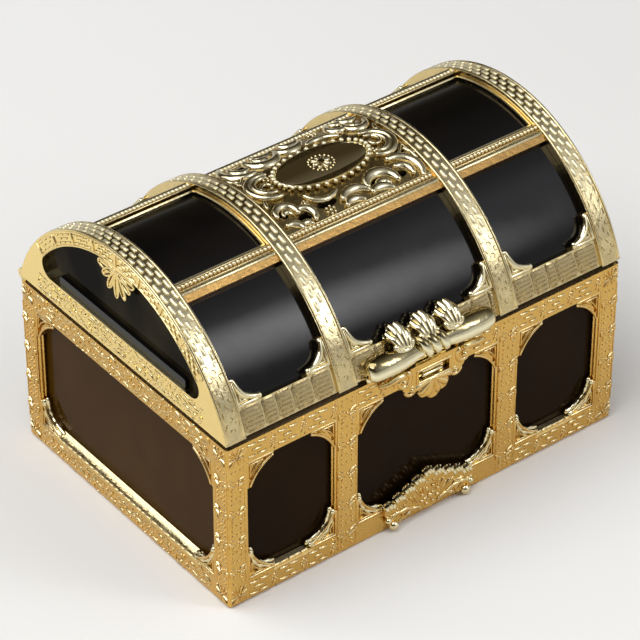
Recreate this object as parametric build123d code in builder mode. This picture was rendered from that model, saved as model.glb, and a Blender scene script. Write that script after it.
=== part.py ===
from build123d import *
import math
import os

# Treasure chest box: a plated openwork body round a smoked tub, and a half-round plated lid
# round a smoked arch. Millimetres, +X along the length, -Y to the front, +Z up.
# The origin is on the table, under the middle of the body.

# Overall sizes
chest_length = 115.0
chest_depth = 81.0
body_height = 46.2
seam_gap = 1.2
lid_rise = 29.3

# Body frame
frame_wall = 2.0
corner_pillar_width = 5.5
middle_pillar_width = 5.8
middle_pillar_offset = 23.7
bottom_rail_height = 6.0
top_rail_height = 6.0
upright_edge_round = 0.8
foot_edge_round = 0.7
floor_thickness = 1.6

# Corner brackets of every window
bracket_reach = 7.2
bracket_tip = 1.0
bracket_bow = 0.9
bracket_rim = 0.8
bracket_setback = 0.35
bracket_pocket = 0.5
lid_bracket_reach = 6.4
lid_bracket_tip = 0.8
lid_bracket_bow = 1.6

# Smoked liners
liner_wall = 1.2
liner_clearance = 0.1
rim_thickness = 0.9
rim_inset = 0.7
ledge_height = 2.4
ledge_half_width = 24.5
ledge_proud = 1.4
ledge_round = 0.6

# Lid frame
lid_wall = 2.0
band_proud = 0.6
end_band_width = 5.5
middle_band_width = 5.3
middle_band_offset = 23.5
ring_width = 3.9
lid_end_rail_height = 6.1
end_window_corner_round = 3.2
lid_foot_rail_width = 7.1
lid_rail_width = 5.2
top_window_angle = 19.5

# Hinge
hinge_setback = 0.6
hinge_end_inset = 0.8
knuckle_radius = 1.5
knuckle_length = 5.0
knuckle_gap = 0.2
knuckle_relief = 0.3
knuckle_web = 1.1
pin_radius = 0.75
pin_running_fit = 0.05
pin_press_fit = 0.02

# Thumb grip
grip_forward = 0.4
grip_lift = 1.8
grip_half_length = 18.0
grip_radius = 2.75
grip_neck_radius = 2.3
grip_end_radius = 2.4
grip_lobe_share = 0.5
grip_rib_radius = 3.4
grip_rib_pitch = 2.6
grip_rib_valley = 0.5
grip_foot_gap = 0.25
seat_clearance = 0.05

# Shells above the grip
shell_pitch = 7.2
shell_width = 6.6
shell_height = 7.4
shell_proud = 2.2
shell_rise = 6.5
shell_flute_count = 5

# Shells that hang in the end windows
end_shell_width = 15.0
end_shell_drop = 8.0
end_shell_thickness = 1.6
end_shell_proud = 0.4
end_shell_flute_count = 7

# Clasp on the body
escutcheon_half_width = 11.5
escutcheon_thickness = 1.5
escutcheon_top_inset = 0.2
escutcheon_height = 5.4
escutcheon_scroll_radius = 2.3
escutcheon_shell_drop = 11.2
escutcheon_shell_radius = 5.0
slot_length = 9.0
slot_height = 3.0
slot_top_inset = 2.2
channel_depth = 0.6
channel_half_width = 5.0
channel_drop = 5.2
rail_pocket_depth = 0.8
tongue_half_width = 4.4
tongue_thickness = 0.8
tongue_foot_clearance = 0.4
tongue_seat_height = 1.0
tongue_groove_height = 0.5
tongue_groove_depth = 0.3

# Crest on the front foot rail
crest_half_width = 13.4
crest_peak_height = 12.8
crest_foot_height = 1.6
crest_thickness = 1.0
crest_lobe_radius = 1.9
crest_lobe_count = 5
crest_flower_radius = 3.3
crest_scroll_radius = 1.7

# Pierced cartouche in the top window
cartouche_clearance = 0.1
cartouche_oval_length = 25.0
cartouche_oval_width = 13.4
cartouche_dome_height = 0.7
cartouche_dome_round = 0.5
cartouche_boss_radius = 0.8
cartouche_boss_height = 0.8
cartouche_web = 1.1

# One overrun serves all cuts
overrun = 1.0

# Sizes that follow from those above
half_length = chest_length / 2
half_depth = chest_depth / 2
lid_bottom = body_height + seam_gap
lid_radius = (half_depth**2 + lid_rise**2) / (2 * lid_rise)
lid_axis_height = lid_bottom + lid_rise - lid_radius
arch_end_angle = math.degrees(math.asin(half_depth / lid_radius))
side_window_start_angle = top_window_angle + math.degrees(lid_rail_width / lid_radius)
side_window_end_angle = arch_end_angle - math.degrees(lid_foot_rail_width / lid_radius)
shell_angle = arch_end_angle - math.degrees(shell_rise / lid_radius)
rail_radius = lid_radius - band_proud
lid_inner_radius = lid_radius - lid_wall
middle_window_half_width = middle_pillar_offset - middle_pillar_width / 2
side_window_inner = middle_pillar_offset + middle_pillar_width / 2
side_window_width = half_length - corner_pillar_width - side_window_inner
side_window_centre = side_window_inner + side_window_width / 2
window_height = body_height - bottom_rail_height - top_rail_height
window_middle = bottom_rail_height + window_height / 2
end_window_width = chest_depth - 2 * corner_pillar_width
hinge_y = half_depth + hinge_setback
hinge_z = body_height + seam_gap / 2
knuckle_step = knuckle_length + knuckle_gap
hinge_group_length = 3 * knuckle_length + 2 * knuckle_gap
first_knuckle_x = half_length - hinge_end_inset - knuckle_length / 2
grip_y = -half_depth - grip_forward
grip_z = lid_bottom + grip_lift
slot_middle = body_height - slot_top_inset - slot_height / 2
liner_outer_length = chest_length - 2 * (frame_wall + liner_clearance)
liner_outer_depth = chest_depth - 2 * (frame_wall + liner_clearance)

os.makedirs("parts", exist_ok=True)


def write_piece(part, name):
    """Label one finished piece and write it as its own file."""
    part.label = name
    export_step(part, f"parts/{name}.step")


def bracket_face(reach, tip, bow):
    """Corner bracket with two straight legs and a hollow third edge, its corner at the origin."""
    middle = (reach + tip) / 2 - bow / math.sqrt(2)
    with BuildSketch() as bracket:
        with BuildLine():
            Polyline((reach, tip), (reach, 0), (0, 0), (0, reach), (tip, reach))
            ThreePointArc((tip, reach), (middle, middle), (reach, tip))
        make_face()
    return bracket.sketch


def corner_places(centre_x, centre_y, width, height):
    """The four corners of a window, each turned so that a bracket's legs run along its sides."""
    left = centre_x - width / 2
    right = centre_x + width / 2
    low = centre_y - height / 2
    high = centre_y + height / 2
    return [
        Location((left, low, 0), (0, 0, 0)),
        Location((right, low, 0), (0, 0, 90)),
        Location((right, high, 0), (0, 0, 180)),
        Location((left, high, 0), (0, 0, 270)),
    ]


def pocket_places(places):
    """The same corners moved inwards along both legs by the width of the bracket's rim."""
    inward = Location((bracket_rim, bracket_rim, 0))
    return [place * inward for place in places]


def fan_face(width, drop, flute_count):
    """Scallop shell that hangs from the origin, with one round lobe for each flute."""
    lobe_radius = width * math.sin(math.radians(90 / flute_count)) / 2
    spread = 180 - 180 / flute_count
    tips = []
    for flute in range(flute_count):
        angle = math.radians(-90 - spread / 2 + spread * flute / (flute_count - 1))
        tip_x = (width / 2 - lobe_radius) * math.cos(angle)
        tip_y = (drop - lobe_radius) * math.sin(angle)
        tips.append((tip_x, tip_y))
    with BuildSketch() as fan:
        with BuildLine():
            Polyline((0, 0), *tips, close=True)
        make_face()
        with Locations(tips):
            Circle(lobe_radius)
    return fan.sketch


bracket_shape = bracket_face(bracket_reach, bracket_tip, bracket_bow)
lid_bracket_shape = bracket_face(lid_bracket_reach, lid_bracket_tip, lid_bracket_bow)
pocket_shape = bracket_face(
    bracket_reach - 3 * bracket_rim, bracket_tip - bracket_rim / 2, bracket_bow
)
front_windows = [
    (-side_window_centre, side_window_width),
    (0, 2 * middle_window_half_width),
    (side_window_centre, side_window_width),
]
front_bracket_places = []
for window_x, window_width in front_windows:
    front_bracket_places += corner_places(window_x, window_middle, window_width, window_height)
end_bracket_places = corner_places(0, window_middle, end_window_width, window_height)

# Body frame
with BuildPart() as body_frame:
    with BuildSketch():
        RectangleRounded(chest_length, chest_depth, upright_edge_round)
    extrude(amount=body_height)
    fillet(body_frame.edges().group_by(Axis.Z)[0], foot_edge_round)
    with BuildSketch(Plane.XY.offset(floor_thickness)):
        Rectangle(chest_length - 2 * frame_wall, chest_depth - 2 * frame_wall)
    extrude(amount=body_height, mode=Mode.SUBTRACT)
    with BuildSketch(Plane.XZ):
        for window_x, window_width in front_windows:
            with Locations((window_x, window_middle)):
                Rectangle(window_width, window_height)
    extrude(amount=half_depth + overrun, both=True, mode=Mode.SUBTRACT)
    with BuildSketch(Plane.YZ):
        with Locations((0, window_middle)):
            Rectangle(end_window_width, window_height)
    extrude(amount=half_length + overrun, both=True, mode=Mode.SUBTRACT)
    for side in (1, -1):
        with BuildSketch(Plane.XZ.offset(side * (half_depth - bracket_setback))):
            for place in front_bracket_places:
                with Locations(place):
                    add(bracket_shape)
        extrude(amount=side * (bracket_setback - frame_wall))
        with BuildSketch(Plane.XZ.offset(side * (half_depth - bracket_setback))):
            for place in pocket_places(front_bracket_places):
                with Locations(place):
                    add(pocket_shape)
        extrude(amount=-side * bracket_pocket, mode=Mode.SUBTRACT)
        with BuildSketch(Plane.YZ.offset(side * (half_length - bracket_setback))):
            for place in end_bracket_places:
                with Locations(place):
                    add(bracket_shape)
        extrude(amount=side * (bracket_setback - frame_wall))
        with BuildSketch(Plane.YZ.offset(side * (half_length - bracket_setback))):
            for place in pocket_places(end_bracket_places):
                with Locations(place):
                    add(pocket_shape)
        extrude(amount=-side * bracket_pocket, mode=Mode.SUBTRACT)
    # Pocket behind the escutcheon, where the lid's tongue comes down
    with BuildSketch(Plane.XZ.offset(half_depth)):
        with Locations((0, body_height - channel_drop)):
            Rectangle(2 * channel_half_width, 2 * channel_drop, align=(Align.CENTER, Align.MIN))
    extrude(amount=-rail_pocket_depth, mode=Mode.SUBTRACT)
    # Hinge: one knuckle and its web near each end, and room for the lid's knuckles beside it
    for side in (1, -1):
        middle_x = side * (first_knuckle_x - knuckle_step)
        for place in (-1, 1):
            relief_x = middle_x + place * knuckle_step
            with BuildSketch(Plane.YZ.offset(relief_x)):
                with Locations((hinge_y, hinge_z)):
                    Circle(knuckle_radius + knuckle_relief)
            extrude(amount=knuckle_length / 2 + knuckle_gap, both=True, mode=Mode.SUBTRACT)
        with BuildSketch(Plane.YZ.offset(middle_x)):
            with Locations((hinge_y, hinge_z)):
                Circle(knuckle_radius)
            with Locations((half_depth - frame_wall / 2, body_height)):
                Rectangle(
                    frame_wall / 2 + hinge_setback, knuckle_web, align=(Align.MIN, Align.MAX)
                )
            with Locations((hinge_y, hinge_z)):
                Circle(pin_radius + pin_running_fit, mode=Mode.SUBTRACT)
        extrude(amount=knuckle_length / 2, both=True)
write_piece(body_frame.part, "body_frame")

# Smoked tub inside the body, with the rim that lies on the body frame's top edge
with BuildPart() as body_liner:
    with BuildSketch(Plane.XY.offset(floor_thickness)):
        Rectangle(liner_outer_length, liner_outer_depth)
    extrude(amount=body_height - floor_thickness)
    with BuildSketch(Plane.XY.offset(body_height)):
        RectangleRounded(
            chest_length - 2 * rim_inset, chest_depth - 2 * rim_inset, upright_edge_round
        )
    extrude(amount=rim_thickness)
    with BuildSketch(Plane.XY.offset(floor_thickness + liner_wall)):
        Rectangle(liner_outer_length - 2 * liner_wall, liner_outer_depth - 2 * liner_wall)
    extrude(amount=body_height, mode=Mode.SUBTRACT)
    for side in (1, -1):
        with BuildSketch(Plane.YZ.offset(side * (first_knuckle_x - knuckle_step))):
            with Locations((hinge_y, hinge_z)):
                Circle(knuckle_radius + knuckle_relief)
        extrude(amount=hinge_group_length / 2 + knuckle_gap, both=True, mode=Mode.SUBTRACT)
write_piece(body_liner.part, "body_liner")


def tangent_plane(angle, radius):
    """Plane on the lid's outside, angle degrees down from the top, towards the back if positive."""
    turn = math.radians(angle)
    outward = (0, math.sin(turn), math.cos(turn))
    centre = (0, radius * outward[1], lid_axis_height + radius * outward[2])
    return Plane(origin=centre, x_dir=(1, 0, 0), z_dir=outward)


side_window_angle = (side_window_start_angle + side_window_end_angle) / 2
side_window_half_angle = math.radians(side_window_end_angle - side_window_start_angle) / 2
side_window_height = 2 * lid_radius * math.sin(side_window_half_angle)
top_window_height = 2 * lid_radius * math.sin(math.radians(top_window_angle))
side_cut_start = lid_radius * math.cos(side_window_half_angle) - lid_wall - overrun
top_cut_start = lid_radius * math.cos(math.radians(top_window_angle)) - lid_wall - overrun
bay_inner = middle_band_offset + middle_band_width / 2
bay_outer = half_length - end_band_width
middle_bay_half_width = middle_band_offset - middle_band_width / 2
lid_bays = [
    (-(bay_inner + bay_outer) / 2, bay_outer - bay_inner),
    (0, 2 * middle_bay_half_width),
    ((bay_inner + bay_outer) / 2, bay_outer - bay_inner),
]

# Lid frame
with BuildPart() as lid_frame:
    with BuildSketch(Plane.YZ):
        with Locations((0, lid_axis_height)):
            Circle(lid_radius)
        with Locations((0, lid_bottom)):
            Rectangle(
                4 * half_depth, 4 * lid_radius, align=(Align.CENTER, Align.MAX), mode=Mode.SUBTRACT
            )
    extrude(amount=half_length, both=True)
    for bay_x, bay_width in lid_bays:
        with BuildSketch(Plane.YZ.offset(bay_x)):
            with Locations((0, lid_axis_height)):
                Circle(lid_radius + overrun)
                Circle(rail_radius, mode=Mode.SUBTRACT)
        extrude(amount=bay_width / 2, both=True, mode=Mode.SUBTRACT)
    with BuildSketch(Plane.YZ):
        with Locations((0, lid_axis_height)):
            Circle(lid_inner_radius)
    extrude(amount=half_length - lid_wall, both=True, mode=Mode.SUBTRACT)
    with BuildSketch(Plane.YZ) as end_window:
        with Locations((0, lid_axis_height)):
            Circle(lid_radius - ring_width)
        with Locations((0, lid_bottom + lid_end_rail_height)):
            Rectangle(
                4 * half_depth, 4 * lid_radius, align=(Align.CENTER, Align.MAX), mode=Mode.SUBTRACT
            )
        fillet(end_window.vertices(), end_window_corner_round)
    extrude(amount=half_length + overrun, both=True, mode=Mode.SUBTRACT)
    for bay_x, bay_width in lid_bays:
        with BuildSketch(tangent_plane(0, top_cut_start)):
            with Locations((bay_x, 0)):
                Rectangle(bay_width, top_window_height)
        extrude(amount=lid_radius + overrun - top_cut_start, mode=Mode.SUBTRACT)
        for side in (1, -1):
            with BuildSketch(tangent_plane(side * side_window_angle, side_cut_start)):
                with Locations((bay_x, 0)):
                    Rectangle(bay_width, side_window_height)
                places = corner_places(bay_x, 0, bay_width, side_window_height)
                for place in places:
                    if place.position.Y * side > 0:
                        with Locations(place):
                            add(lid_bracket_shape, mode=Mode.SUBTRACT)
            extrude(amount=lid_radius + overrun - side_cut_start, mode=Mode.SUBTRACT)
    # Hinge: two knuckles near each end with their webs, and room for the body's knuckle between
    for side in (1, -1):
        middle_x = side * (first_knuckle_x - knuckle_step)
        with BuildSketch(Plane.YZ.offset(middle_x)):
            with Locations((hinge_y, hinge_z)):
                Circle(knuckle_radius + knuckle_relief)
        extrude(amount=knuckle_length / 2 + knuckle_gap, both=True, mode=Mode.SUBTRACT)
        for place in (-1, 1):
            with BuildSketch(Plane.YZ.offset(middle_x + place * knuckle_step)):
                with Locations((hinge_y, hinge_z)):
                    Circle(knuckle_radius)
                with Locations((half_depth - lid_wall, lid_bottom)):
                    Rectangle(
                        lid_wall + hinge_setback, knuckle_web, align=(Align.MIN, Align.MIN)
                    )
                with Locations((hinge_y, hinge_z)):
                    Circle(pin_radius + pin_press_fit, mode=Mode.SUBTRACT)
            extrude(amount=knuckle_length / 2, both=True)
write_piece(lid_frame.part, "lid_frame")

# Smoked arch inside the lid, with its end walls and the ledge that shows in each end window
lid_liner_radius = lid_inner_radius - liner_clearance
lid_liner_half_length = half_length - lid_wall - liner_clearance
ledge_bottom = lid_bottom + lid_end_rail_height + liner_clearance
with BuildPart() as lid_liner:
    with BuildSketch(Plane.YZ):
        with Locations((0, lid_axis_height)):
            Circle(lid_liner_radius)
        with Locations((0, lid_bottom)):
            Rectangle(
                4 * half_depth, 4 * lid_radius, align=(Align.CENTER, Align.MAX), mode=Mode.SUBTRACT
            )
    extrude(amount=lid_liner_half_length, both=True)
    with BuildSketch(Plane.YZ):
        with Locations((0, lid_axis_height)):
            Circle(lid_liner_radius - liner_wall)
    extrude(amount=lid_liner_half_length - liner_wall, both=True, mode=Mode.SUBTRACT)
    for side in (1, -1):
        with BuildSketch(Plane.YZ.offset(side * lid_liner_half_length)) as ledge:
            with Locations((0, ledge_bottom)):
                Rectangle(
                    2 * ledge_half_width, ledge_height, align=(Align.CENTER, Align.MIN)
                )
            fillet(ledge.vertices(), ledge_round)
        extrude(amount=side * ledge_proud)
        with BuildSketch(Plane.YZ.offset(side * (first_knuckle_x - knuckle_step))):
            with Locations((hinge_y, hinge_z)):
                Circle(knuckle_radius + knuckle_relief)
        extrude(amount=hinge_group_length / 2 + knuckle_gap, both=True, mode=Mode.SUBTRACT)
write_piece(lid_liner.part, "lid_liner")

# Hinge pins
for side, name in ((-1, "left_hinge_pin"), (1, "right_hinge_pin")):
    with BuildPart() as hinge_pin:
        with BuildSketch(Plane.YZ.offset(side * (first_knuckle_x - knuckle_step))):
            with Locations((hinge_y, hinge_z)):
                Circle(pin_radius)
        extrude(amount=hinge_group_length / 2, both=True)
    write_piece(hinge_pin.part, name)

# Thumb grip: a roll with two pillow lobes and three ribs between them
rib_edge = 1.5 * grip_rib_pitch
lobe_middle = rib_edge + grip_lobe_share * (grip_half_length - rib_edge)
lobe_end = grip_half_length - grip_end_radius
grip_plane = Plane(origin=(0, grip_y, grip_z), x_dir=(1, 0, 0), z_dir=(0, -1, 0))
with BuildPart() as thumb_grip:
    with BuildSketch(grip_plane):
        with BuildLine():
            for rib in (-1, 0, 1):
                start = (rib - 0.5) * grip_rib_pitch
                end = (rib + 0.5) * grip_rib_pitch
                valley = grip_rib_radius - grip_rib_valley
                crown = ((start + end) / 2, grip_rib_radius)
                ThreePointArc((start, valley), crown, (end, valley))
            for side in (1, -1):
                Line((side * rib_edge, valley), (side * (rib_edge + grip_rib_valley), grip_neck_radius))
                ThreePointArc(
                    (side * (rib_edge + grip_rib_valley), grip_neck_radius),
                    (side * lobe_middle, grip_radius),
                    (side * lobe_end, grip_end_radius),
                )
                RadiusArc(
                    (side * lobe_end, grip_end_radius),
                    (side * grip_half_length, 0),
                    side * grip_end_radius,
                )
            Line((-grip_half_length, 0), (grip_half_length, 0))
        make_face()
    revolve(axis=Axis((0, grip_y, grip_z), (1, 0, 0)))
    with BuildSketch(Plane.YZ):
        with Locations((0, lid_axis_height)):
            Circle(rail_radius + seat_clearance)
        with Locations((grip_y, body_height + grip_foot_gap)):
            Rectangle(4 * grip_rib_radius, 4 * grip_rib_radius, align=(Align.CENTER, Align.MAX))
    extrude(amount=half_length, both=True, mode=Mode.SUBTRACT)
    with BuildSketch(Plane.XZ.offset(half_depth - rail_pocket_depth)):
        with Locations((0, lid_bottom - overrun)):
            Rectangle(
                2 * (tongue_half_width + seat_clearance),
                overrun + tongue_seat_height,
                align=(Align.CENTER, Align.MIN),
            )
    extrude(amount=rail_pocket_depth + channel_depth, mode=Mode.SUBTRACT)
write_piece(thumb_grip.part, "thumb_grip")

# Snap tongue that hangs from the grip into the body's clasp
tongue_middle_y = -half_depth + (rail_pocket_depth - channel_depth) / 2
tongue_bottom = body_height - channel_drop + tongue_foot_clearance
tongue_top = lid_bottom + tongue_seat_height
with BuildPart() as latch_tongue:
    with BuildSketch(Plane.XZ.offset(-tongue_middle_y)):
        with Locations((0, tongue_bottom)):
            Rectangle(
                2 * tongue_half_width, tongue_top - tongue_bottom, align=(Align.CENTER, Align.MIN)
            )
    extrude(amount=tongue_thickness / 2, both=True)
    with BuildSketch(Plane.XZ.offset(tongue_thickness / 2 - tongue_middle_y)):
        with Locations((0, slot_middle)):
            Rectangle(2 * tongue_half_width, tongue_groove_height)
    extrude(amount=-tongue_groove_depth, mode=Mode.SUBTRACT)
write_piece(latch_tongue.part, "latch_tongue")

# Three fluted shells that stand on the lid above the grip
shell_shape = fan_face(shell_width, shell_height, shell_flute_count)
for place, name in ((-1, "left_grip_shell"), (0, "middle_grip_shell"), (1, "right_grip_shell")):
    seat_radius = grip_radius if place else grip_rib_radius
    with BuildPart() as grip_shell:
        with BuildSketch(tangent_plane(-shell_angle, rail_radius - shell_proud)):
            with Locations(Location((place * shell_pitch, -shell_height / 2, 0), (0, 0, 180))):
                add(shell_shape)
        extrude(amount=2 * shell_proud + band_proud)
        with BuildSketch(Plane.YZ):
            with Locations((0, lid_axis_height)):
                Circle(rail_radius + seat_clearance)
            with Locations((grip_y, grip_z)):
                Circle(seat_radius + seat_clearance)
        extrude(amount=half_length, both=True, mode=Mode.SUBTRACT)
    write_piece(grip_shell.part, name)

# Fan shells that hang from the lid's end rings
end_shell_shape = fan_face(end_shell_width, end_shell_drop, end_shell_flute_count)
ring_inner_radius = lid_radius - ring_width
end_shell_top = lid_axis_height + ring_inner_radius
for side, name in ((-1, "left_end_shell"), (1, "right_end_shell")):
    with BuildPart() as end_shell:
        with BuildSketch(Plane.YZ.offset(side * (half_length + end_shell_proud))):
            with Locations((0, end_shell_top)):
                add(end_shell_shape)
            with Locations((0, lid_axis_height)):
                Circle(ring_inner_radius - seat_clearance, mode=Mode.INTERSECT)
        extrude(amount=-side * end_shell_thickness)
    write_piece(end_shell.part, name)

# Escutcheon of the clasp: a scrolled plate with the slot, over a shell that points down
escutcheon_top = body_height - escutcheon_top_inset
escutcheon_shell_shape = fan_face(
    2 * (escutcheon_shell_radius + escutcheon_scroll_radius / 2),
    escutcheon_shell_drop - escutcheon_height / 2,
    shell_flute_count,
)
with BuildPart() as latch_escutcheon:
    with BuildSketch(Plane.XZ.offset(half_depth)):
        with Locations((0, escutcheon_top)):
            Rectangle(
                2 * (escutcheon_half_width - 2 * escutcheon_scroll_radius),
                escutcheon_height,
                align=(Align.CENTER, Align.MAX),
            )
        for side in (1, -1):
            with Locations(
                (
                    side * (escutcheon_half_width - escutcheon_scroll_radius),
                    escutcheon_top - escutcheon_scroll_radius,
                ),
                (
                    side * (escutcheon_half_width - 2 * escutcheon_scroll_radius),
                    escutcheon_top - escutcheon_height + escutcheon_scroll_radius / 2,
                ),
            ):
                Circle(escutcheon_scroll_radius)
        with Locations((0, escutcheon_top - escutcheon_height / 2)):
            add(escutcheon_shell_shape)
    extrude(amount=escutcheon_thickness)
    with BuildSketch(Plane.XZ.offset(half_depth)):
        with Locations((0, slot_middle)):
            Rectangle(slot_length, slot_height)
    extrude(amount=escutcheon_thickness, mode=Mode.SUBTRACT)
    with BuildSketch(Plane.XZ.offset(half_depth)):
        with Locations((0, body_height - channel_drop)):
            Rectangle(2 * channel_half_width, channel_drop, align=(Align.CENTER, Align.MIN))
    extrude(amount=channel_depth, mode=Mode.SUBTRACT)
write_piece(latch_escutcheon.part, "latch_escutcheon")

# Crest of curled leaves on the front foot rail
with BuildPart() as front_crest:
    with BuildSketch(Plane.XZ.offset(half_depth)):
        with BuildLine():
            Polyline(
                (-crest_half_width + crest_lobe_radius, crest_foot_height + crest_scroll_radius),
                (crest_half_width - crest_lobe_radius, crest_foot_height + crest_scroll_radius),
                (0, crest_peak_height - crest_lobe_radius),
                close=True,
            )
        make_face()
        for lobe in range(crest_lobe_count):
            rise_share = 1 - lobe / (crest_lobe_count - 1)
            lobe_x = (1 - rise_share) * (crest_half_width - crest_lobe_radius)
            low = bottom_rail_height
            high = crest_peak_height - crest_lobe_radius
            lobe_z = low + rise_share * (high - low)
            with Locations((lobe_x, lobe_z), (-lobe_x, lobe_z)):
                Circle(crest_lobe_radius)
        with Locations((0, crest_foot_height + crest_flower_radius)):
            Circle(crest_flower_radius)
        for side in (1, -1):
            scroll_x = side * (crest_half_width - 2 * crest_scroll_radius)
            with Locations((scroll_x, crest_foot_height + crest_scroll_radius)):
                Circle(crest_scroll_radius)
    extrude(amount=crest_thickness)
write_piece(front_crest.part, "front_crest")

# Pierced cartouche: a plate bent to the arch, a domed oval on it, and a small boss in its middle
cartouche_half_length = middle_bay_half_width - cartouche_clearance
cartouche_half_width = top_window_height / 2 - cartouche_clearance
piercing_shares = (
    (0.33, 0.78, 0.13, 0.08),
    (0.64, 0.84, 0.11, 0.07),
    (0.86, 0.56, 0.07, 0.18),
)
with BuildPart() as lid_cartouche:
    with BuildSketch(Plane.YZ):
        with Locations((0, lid_axis_height)):
            Circle(rail_radius)
            Circle(lid_inner_radius, mode=Mode.SUBTRACT)
        with Locations((0, lid_axis_height)):
            Rectangle(
                2 * cartouche_half_width,
                2 * lid_radius,
                align=(Align.CENTER, Align.MIN),
                mode=Mode.INTERSECT,
            )
    extrude(amount=cartouche_half_length, both=True)
    with BuildSketch(tangent_plane(0, top_cut_start)):
        for x_share, y_share, length_share, width_share in piercing_shares:
            for side_x in (1, -1):
                for side_y in (1, -1):
                    hole_x = side_x * x_share * cartouche_half_length
                    hole_y = side_y * y_share * cartouche_half_width
                    with Locations((hole_x, hole_y)):
                        Ellipse(
                            length_share * cartouche_half_length,
                            width_share * cartouche_half_width,
                        )
    extrude(amount=lid_radius + overrun - top_cut_start, mode=Mode.SUBTRACT)
    with BuildSketch(tangent_plane(0, rail_radius - cartouche_web)):
        Ellipse(cartouche_oval_length / 2, cartouche_oval_width / 2)
    extrude(amount=cartouche_web + cartouche_dome_height)
    fillet(lid_cartouche.edges().group_by(Axis.Z)[-1], cartouche_dome_round)
    with BuildSketch(tangent_plane(0, rail_radius + cartouche_dome_height)):
        Circle(cartouche_boss_radius)
    extrude(amount=cartouche_boss_height)
write_piece(lid_cartouche.part, "lid_cartouche")
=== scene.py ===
"""Looks of the treasure chest box: plated relief, smoked panels, clasp, cartouche, light and camera."""
import random
from math import acos, asin, cos, degrees, pi, radians, sin, sqrt

import bmesh
import bpy
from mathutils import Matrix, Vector


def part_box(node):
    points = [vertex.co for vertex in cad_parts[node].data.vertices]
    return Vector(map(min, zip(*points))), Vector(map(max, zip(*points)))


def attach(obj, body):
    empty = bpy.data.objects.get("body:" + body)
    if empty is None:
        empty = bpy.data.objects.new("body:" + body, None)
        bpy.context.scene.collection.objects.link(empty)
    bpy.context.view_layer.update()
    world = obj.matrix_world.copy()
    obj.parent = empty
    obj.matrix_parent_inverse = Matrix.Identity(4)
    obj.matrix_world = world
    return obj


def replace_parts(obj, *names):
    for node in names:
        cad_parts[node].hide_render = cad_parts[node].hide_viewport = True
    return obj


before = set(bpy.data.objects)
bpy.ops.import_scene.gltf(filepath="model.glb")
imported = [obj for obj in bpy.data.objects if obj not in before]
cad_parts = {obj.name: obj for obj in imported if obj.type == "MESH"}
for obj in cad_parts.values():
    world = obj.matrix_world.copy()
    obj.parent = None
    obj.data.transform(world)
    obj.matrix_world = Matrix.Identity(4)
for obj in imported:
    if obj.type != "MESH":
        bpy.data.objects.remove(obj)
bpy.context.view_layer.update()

random.seed(11)

# Sizes of the chest, in millimetres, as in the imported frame
MM = 0.001
HALF_LENGTH = -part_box("body_frame")[0].x / MM
HALF_DEPTH = -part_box("body_frame")[0].y / MM
BODY_TOP = 46.2
LID_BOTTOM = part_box("lid_liner")[0].z / MM
LID_TOP = 76.7
LID_RADIUS = (HALF_DEPTH**2 + (LID_TOP - LID_BOTTOM) ** 2) / (2 * (LID_TOP - LID_BOTTOM))
LID_AXIS = LID_TOP - LID_RADIUS
RAIL_SINK = 0.6
RAIL = 6.0
CORNER_PILLAR = 5.5
MIDDLE_PILLAR = 5.8
MIDDLE_PILLAR_AT = 23.7
END_BAND = 5.5
MIDDLE_BAND = 5.3
MIDDLE_BAND_AT = 23.5
RING = 3.9
LID_END_RAIL = 6.1
BODY_BRACKET = (7.2, 1.0, 0.9)
LID_BRACKET = (6.4, 0.8, 1.6)
TOP_WINDOW_EDGE = radians(19.5) * LID_RADIUS
SIDE_WINDOW_START = TOP_WINDOW_EDGE + 5.2
ARCH_END = asin(HALF_DEPTH / LID_RADIUS) * LID_RADIUS
SIDE_WINDOW_END = ARCH_END - 7.1
GRIP_OUT = 0.3
GRIP_Z = LID_BOTTOM + 2.15
GRIP_REACH = 3.48
GRIP_MIDDLE = -0.5
SHELL_PITCH = 7.2
SHELL_ANGLE = degrees((ARCH_END - 6.5) / LID_RADIUS)
SUNK = 0.25
CLASP_FRONT = 1.5
SLOT_HALF = 4.8
SLOT_LOW = 40.75
SLOT_TOP = 44.25
CREST_FRONT = 1.0
ROSETTE_Z = 5.4
END_SKIN = (55.2, 55.7)
INNER_SKIN_HALF = 54.25
INNER_SKIN_DEPTHS = (3.25, 4.5)
LEDGE_HALF = 23.6

WINDOW_HEIGHT = BODY_TOP - 2 * RAIL
WINDOW_MIDDLE = BODY_TOP / 2
SIDE_WINDOW_INNER = MIDDLE_PILLAR_AT + MIDDLE_PILLAR / 2
SIDE_WINDOW_WIDTH = HALF_LENGTH - CORNER_PILLAR - SIDE_WINDOW_INNER
SIDE_WINDOW_AT = SIDE_WINDOW_INNER + SIDE_WINDOW_WIDTH / 2
MIDDLE_WINDOW_WIDTH = 2 * MIDDLE_PILLAR_AT - MIDDLE_PILLAR
BODY_WINDOWS = (
    (-SIDE_WINDOW_AT, SIDE_WINDOW_WIDTH),
    (0.0, MIDDLE_WINDOW_WIDTH),
    (SIDE_WINDOW_AT, SIDE_WINDOW_WIDTH),
)
BAY_INNER = MIDDLE_BAND_AT + MIDDLE_BAND / 2
BAY_OUTER = HALF_LENGTH - END_BAND
BAY_MIDDLE = MIDDLE_BAND_AT - MIDDLE_BAND / 2
LID_BAYS = ((-BAY_OUTER, -BAY_INNER), (-BAY_MIDDLE, BAY_MIDDLE), (BAY_INNER, BAY_OUTER))

# The body that a piece rides on, and its slot
ON_BODY = ("chest_body", "body_gold")
ON_LID = ("lid", "lid_gold")
IN_LID = ("lid", "smoked_plastic")


# Placing functions: a flat sheet (along, up, out) in millimetres, laid on one face of the chest

def on_front(u, v, h):
    return (u, -HALF_DEPTH - h, v)


def on_back(u, v, h):
    return (-u, HALF_DEPTH + h, v)


def on_left(u, v, h):
    return (-HALF_LENGTH - h, -u, v)


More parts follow.
